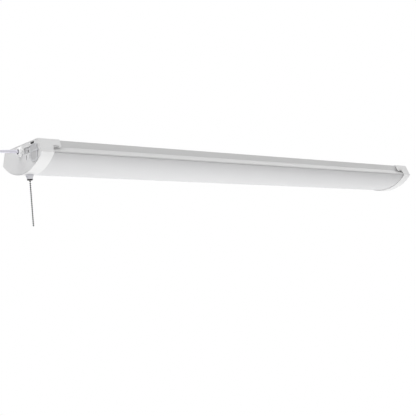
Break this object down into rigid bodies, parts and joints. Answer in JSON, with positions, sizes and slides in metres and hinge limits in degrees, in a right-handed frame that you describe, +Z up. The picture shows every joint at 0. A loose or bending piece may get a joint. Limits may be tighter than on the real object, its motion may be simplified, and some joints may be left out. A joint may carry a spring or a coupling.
{
  "type": "linkable LED shop light",
  "caption": "Long ceiling shop light: bent white channel with flared ledges, frosted bowl lens, moulded end caps, covered link outlet, pull-chain switch and coiled supply cord.",
  "frame": {"origin": "middle of the housing's top face, on the centre line between the two ceiling screw slots", "axes": "+X along the light, from the end with the cord, switch and outlet to the plain end; +Z up to the ceiling; -Y is the long side that the picture shows"},
  "size_m": [1.3463, 0.1757, 0.1652],
  "materials": {
    "white_steel": "smooth white baked enamel",
    "white_plastic": "satin white moulding",
    "frosted_lens": "frosted white polycarbonate",
    "grey_plastic": "light grey moulding",
    "cord_jacket": "soft white PVC",
    "black_strap": "soft black strap",
    "steel": "plain zinc plated",
    "brass": "plain brass",
    "chrome": "polished nickel",
    "chain_steel": "nickel-plated beads",
    "board_white": "white solder mask",
    "board_green": "green solder mask",
    "led_yellow": "phosphor",
    "component_dark": "dark sleeves",
    "switch_black": "black phenolic",
    "wire_black": "black insulation",
    "wire_white": "white insulation",
    "wire_red": "red insulation"
  },
  "bodies": {
    "light": {"housing": "white_steel", "diffuser_lens": "frosted_lens", "left_end_cap": "white_plastic", "right_end_cap": "white_plastic", "left_end_plate": "white_plastic", "right_end_plate": "white_plastic", "link_outlet_body": "white_plastic", "outlet_blade_contacts": "brass", "outlet_ground_strap": "brass", "outlet_cover_pin": "steel", "cord_gland": "white_plastic", "gland_lock_nut": "white_plastic", "cord_tail": "cord_jacket", "power_cord": "cord_jacket", "cord_coil": "cord_jacket", "cord_tie": "black_strap", "plug_body": "cord_jacket", "plug_blades": "steel", "plug_ground_pin": "steel", "reflector_tray": "white_steel", "tray_brackets": "steel", "led_board_front": "board_white", "led_board_rear": "board_white", "led_chips_front": "led_yellow", "led_chips_rear": "led_yellow", "driver_case": "steel", "driver_board": "board_green", "driver_board_posts": "white_plastic", "driver_components": "component_dark", "driver_screws": "steel", "supply_leads": "wire_black", "outlet_leads": "wire_white", "led_leads": "wire_red", "switch_body": "switch_black", "switch_cover": "switch_black", "switch_neck": "brass", "switch_lock_nut": "brass", "switch_spring": "steel", "chain_bell": "chrome"},
    "pull_rod": {"switch_plunger": "white_plastic", "chain_stub": "chain_steel"},
    "chain_top": {"chain_top_bead": "chain_steel"},
    "chain_upper": {"chain_upper_beads": "chain_steel", "chain_upper_links": "chain_steel"},
    "chain_lower": {"chain_lower_beads": "chain_steel", "chain_lower_links": "chain_steel"},
    "cover": {"outlet_cover": "grey_plastic"}
  },
  "joints": [
    {"name": "switch_pull", "type": "slide", "parent": "light", "child": "pull_rod", "axis": [0, 0, -1], "range_m": [0, 0.008], "stiffness_N_per_m": 600, "springref_m": -0.004, "deforming": ["switch_spring"]},
    {"name": "chain_swing_across", "type": "hinge", "parent": "pull_rod", "child": "chain_top", "pos_m": [-0.595, 0, -0.06853], "axis": [1, 0, 0], "range_deg": [-30, 30]},
    {"name": "chain_swing_along", "type": "hinge", "parent": "chain_top", "child": "chain_upper", "pos_m": [-0.595, 0, -0.06853], "axis": [0, 1, 0], "range_deg": [-30, 30]},
    {"name": "chain_bend", "type": "hinge", "parent": "chain_upper", "child": "chain_lower", "pos_m": [-0.595, 0, -0.11737], "axis": [0, 1, 0], "range_deg": [-60, 60]},
    {"name": "outlet_cover_swing", "type": "hinge", "parent": "light", "child": "cover", "pos_m": [-0.6115, -0.0363, -0.02395], "axis": [0, 0, -1], "range_deg": [0, 180]}
  ]
}
